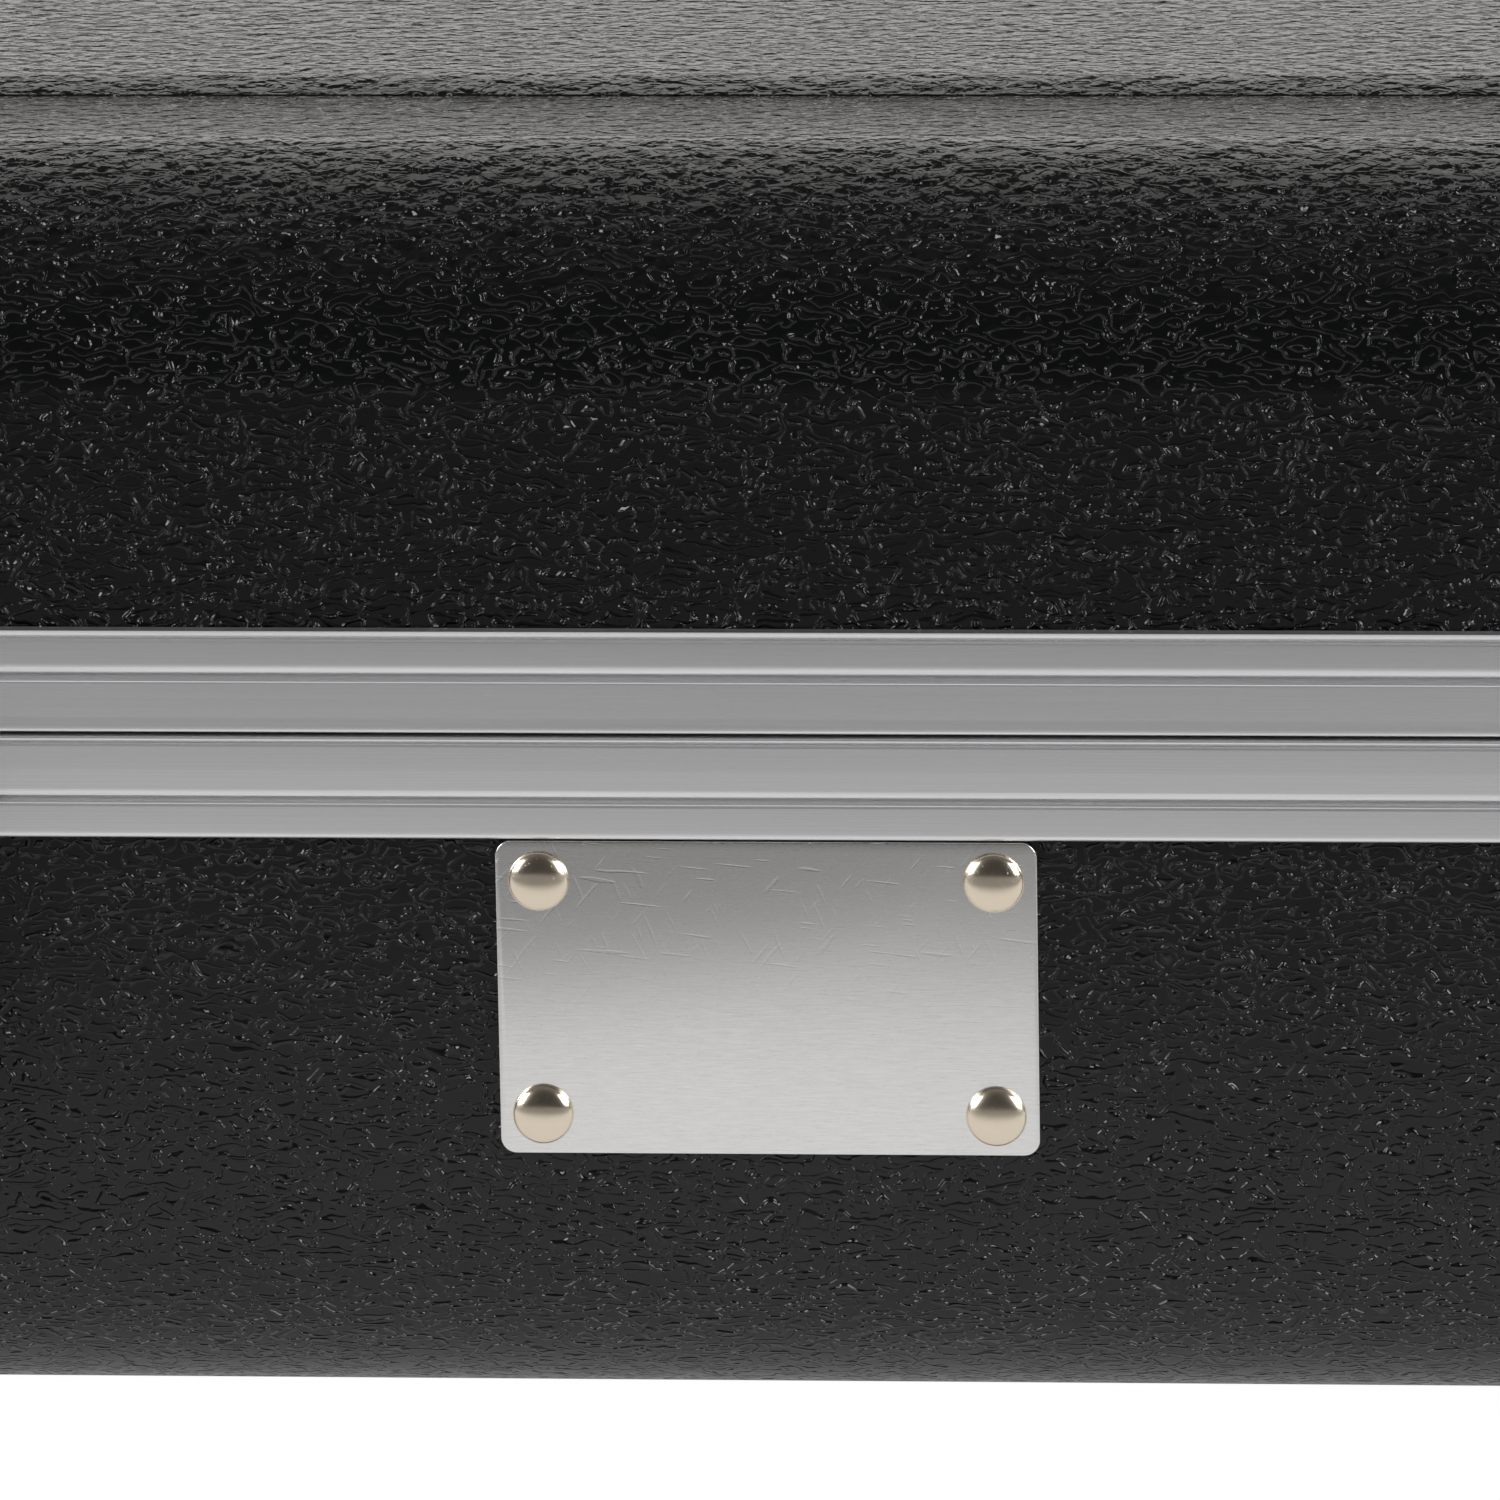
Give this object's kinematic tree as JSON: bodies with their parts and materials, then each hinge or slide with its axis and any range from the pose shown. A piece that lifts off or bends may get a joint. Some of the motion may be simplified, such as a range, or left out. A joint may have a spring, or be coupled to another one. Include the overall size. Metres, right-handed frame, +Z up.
{
  "type": "electric guitar case",
  "caption": "Rectangular hard case for an electric guitar: grained plastic shells in an aluminium rim, with latches, handle, hinged lid and padded inside.",
  "frame": {"origin": "middle of the flat face the case rests on, under the base shell", "axes": "+X along the length towards the body end, -Y towards the latches and handle, +Z up from the base to the lid"},
  "size_m": [1.06, 0.4086, 0.1485],
  "materials": {
    "shell_plastic": "black ABS with a coarse embossed leather grain",
    "rim_metal": "extruded, satin anodised, drawn lines along its length",
    "plate_metal": "brushed, bare, small scratches",
    "rivet_metal": "nickel plated, domed, bright",
    "hardware": "stamped steel, nickel plated",
    "wire": "round steel wire, nickel plated",
    "pin_steel": "drawn steel",
    "lock_brass": "turned brass, nickel flashed",
    "handle_plastic": "black moulded plastic, fine grain",
    "foot_rubber": "black moulded rubber",
    "plush": "black short-pile plush over foam"
  },
  "bodies": {
    "base": {"accessory_box": "plush", "base_feet": "foot_rubber", "base_rim": "rim_metal", "base_shell": "shell_plastic", "bracket_rivets": "rivet_metal", "floor_pad": "plush", "front_waist_cushion": "plush", "handle_bracket_left": "hardware", "handle_bracket_right": "hardware", "handle_pins": "pin_steel", "head_cushion": "plush", "hinge_1_base_leaf": "hardware", "hinge_2_base_leaf": "hardware", "hinge_3_base_leaf": "hardware", "hinge_4_base_leaf": "hardware", "hinge_base_rivets": "rivet_metal", "hinge_pins": "pin_steel", "latch_1_plate": "hardware", "latch_2_plate": "hardware", "latch_3_plate": "hardware", "latch_4_plate": "hardware", "latch_rivets": "rivet_metal", "name_plate": "plate_metal", "name_plate_rivets": "rivet_metal", "neck_cradle": "plush", "rear_neck_cushion": "plush", "rear_waist_cushion": "plush", "tail_cushion": "plush"},
    "lid": {"lid_shell": "shell_plastic", "lid_rim": "rim_metal", "lid_pad": "plush", "hinge_lid_rivets": "rivet_metal", "keeper_rivets": "rivet_metal", "lid_feet": "foot_rubber", "hinge_1_lid_leaf": "hardware", "hinge_2_lid_leaf": "hardware", "hinge_3_lid_leaf": "hardware", "hinge_4_lid_leaf": "hardware", "latch_1_keeper": "hardware", "latch_2_keeper": "hardware", "latch_3_keeper": "hardware", "latch_4_keeper": "hardware"},
    "handle": {"handle_grip": "handle_plastic"},
    "lock": {"lock_plug": "lock_brass"},
    "latch_1_lever": {"latch_1_lever": "hardware"},
    "latch_1_bail": {"latch_1_bail": "wire"},
    "latch_2_lever": {"latch_2_lever": "hardware"},
    "latch_2_bail": {"latch_2_bail": "wire"},
    "latch_3_lever": {"latch_3_lever": "hardware"},
    "latch_3_bail": {"latch_3_bail": "wire"},
    "latch_4_lever": {"latch_4_lever": "hardware"},
    "latch_4_bail": {"latch_4_bail": "wire"}
  },
  "joints": [
    {"name": "lid_hinge", "type": "hinge", "parent": "base", "child": "lid", "pos_m": [0, 0.1936, 0.083], "axis": [-1, 0, 0], "range_deg": [0, 105]},
    {"name": "handle_swing", "type": "hinge", "parent": "base", "child": "handle", "pos_m": [0, -0.198, 0.056], "axis": [-1, 0, 0], "range_deg": [0, 120]},
    {"name": "latch_1_lever_swing", "type": "hinge", "parent": "base", "child": "latch_1_lever", "pos_m": [-0.405, -0.1966, 0.069], "axis": [-1, 0, 0], "range_deg": [0, 100]},
    {"name": "latch_1_bail_swing", "type": "hinge", "parent": "latch_1_lever", "child": "latch_1_bail", "pos_m": [-0.405, -0.196, 0.063], "axis": [-1, 0, 0], "range_deg": [-111, 1]},
    {"name": "latch_2_lever_swing", "type": "hinge", "parent": "base", "child": "latch_2_lever", "pos_m": [-0.165, -0.1966, 0.069], "axis": [-1, 0, 0], "range_deg": [0, 100]},
    {"name": "latch_2_bail_swing", "type": "hinge", "parent": "latch_2_lever", "child": "latch_2_bail", "pos_m": [-0.165, -0.196, 0.063], "axis": [-1, 0, 0], "range_deg": [-111, 1]},
    {"name": "latch_3_lever_swing", "type": "hinge", "parent": "base", "child": "latch_3_lever", "pos_m": [0.165, -0.1966, 0.069], "axis": [-1, 0, 0], "range_deg": [0, 100]},
    {"name": "latch_3_bail_swing", "type": "hinge", "parent": "latch_3_lever", "child": "latch_3_bail", "pos_m": [0.165, -0.196, 0.063], "axis": [-1, 0, 0], "range_deg": [-111, 1]},
    {"name": "latch_4_lever_swing", "type": "hinge", "parent": "base", "child": "latch_4_lever", "pos_m": [0.405, -0.1966, 0.069], "axis": [-1, 0, 0], "range_deg": [0, 100]},
    {"name": "latch_4_bail_swing", "type": "hinge", "parent": "latch_4_lever", "child": "latch_4_bail", "pos_m": [0.405, -0.196, 0.063], "axis": [-1, 0, 0], "range_deg": [-111, 1]},
    {"name": "lock_turn", "type": "hinge", "parent": "latch_3_lever", "child": "lock", "pos_m": [0.165, -0.1994, 0.051], "axis": [0, -1, 0], "range_deg": [0, 90]}
  ],
  "couplings": [
    {"joint": "latch_1_bail_swing", "follows": "latch_1_lever_swing", "ratio": -1.1},
    {"joint": "latch_2_bail_swing", "follows": "latch_2_lever_swing", "ratio": -1.1},
    {"joint": "latch_3_bail_swing", "follows": "latch_3_lever_swing", "ratio": -1.1},
    {"joint": "latch_4_bail_swing", "follows": "latch_4_lever_swing", "ratio": -1.1}
  ]
}
